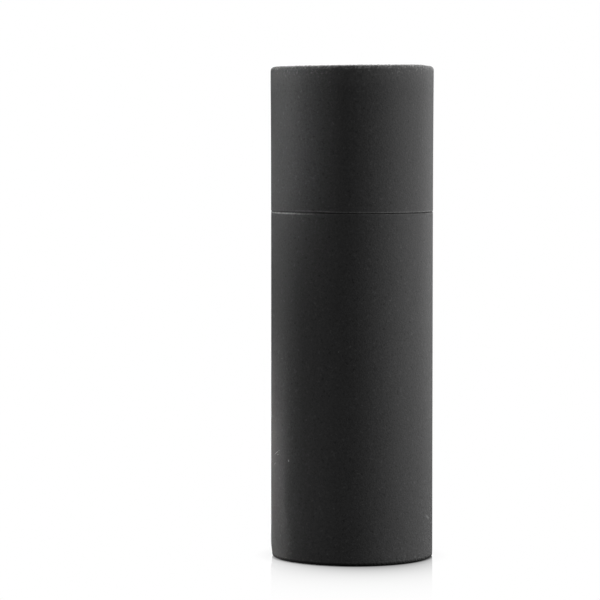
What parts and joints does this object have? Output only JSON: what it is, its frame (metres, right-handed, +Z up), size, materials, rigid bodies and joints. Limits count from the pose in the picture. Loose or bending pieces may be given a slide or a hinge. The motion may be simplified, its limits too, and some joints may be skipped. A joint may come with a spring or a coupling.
{
  "type": "mailing tube",
  "caption": "Round black paperboard mailing tube standing on its end, with a flush pull-off lid that slides on an inner neck.",
  "frame": {"origin": "centre of the foot, on the surface that the tube stands on", "axes": "+Z up along the tube's axis, from the folded foot to the lid's top; the tube is round, so X and Y are free"},
  "size_m": [0.1026, 0.1026, 0.31],
  "materials": {
    "cover_paper": "matte black uncoated cover paper over wound board",
    "neck_paper": "matte black lining paper over wound board",
    "disc_paper": "matte black solid board"
  },
  "bodies": {
    "body": {"body_tube": "cover_paper", "base_disc": "disc_paper", "neck_tube": "neck_paper"},
    "lid": {"lid_tube": "cover_paper", "lid_disc": "disc_paper"}
  },
  "joints": [
    {"name": "lid_slide", "type": "slide", "parent": "body", "child": "lid", "axis": [0, 0, 1], "range_m": [0, 0.1]}
  ]
}
